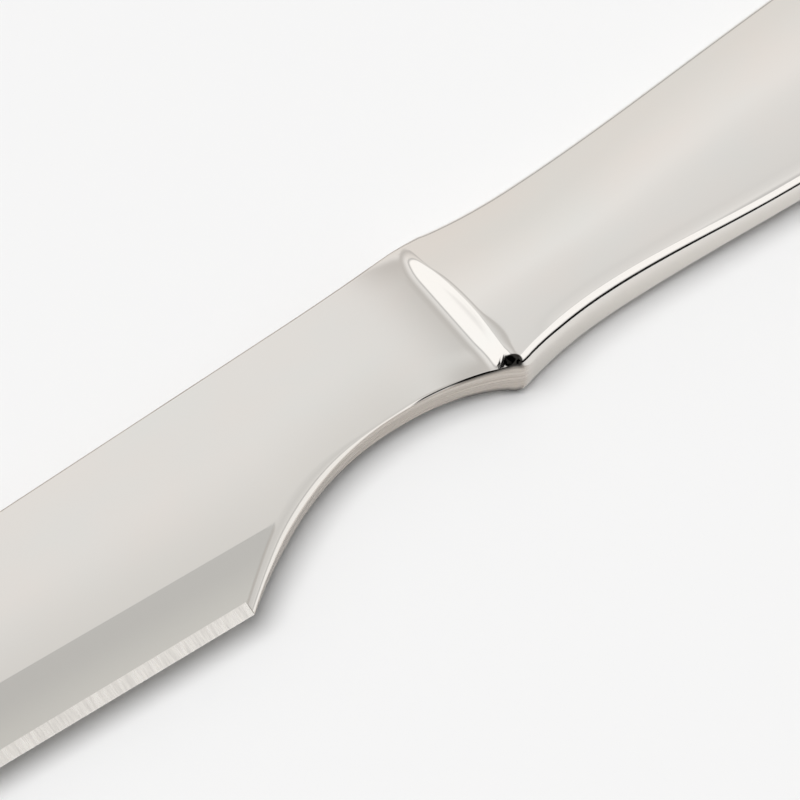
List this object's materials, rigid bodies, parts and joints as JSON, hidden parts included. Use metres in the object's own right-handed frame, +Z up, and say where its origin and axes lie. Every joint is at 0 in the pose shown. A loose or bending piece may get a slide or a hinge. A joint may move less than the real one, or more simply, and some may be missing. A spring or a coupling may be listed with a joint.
{
  "type": "steak knife",
  "caption": "All-steel steak knife: pointed blade with a ground bevel, a coved bolster with a beak under it and a slim hollow handle widening to a rounded butt.",
  "frame": {"origin": "middle of the knife's footprint, on the table it lies on", "axes": "+X towards the butt of the handle, +Y towards the spine, -Y towards the cutting edge, +Z up through the flat of the blade"},
  "size_m": [0.2228, 0.0216, 0.0059],
  "materials": {
    "blade_steel": "fine satin polish with a ground bevel",
    "handle_steel": "bright polish",
    "braze": "silver braze, polished flush",
    "cement": "rough set cement"
  },
  "bodies": {
    "root": {"blade": "blade_steel", "handle_shell_right": "handle_steel", "handle_shell_left": "handle_steel", "seam_braze": "braze", "bolster_braze": "braze", "tang_cement": "cement"}
  },
  "joints": []
}
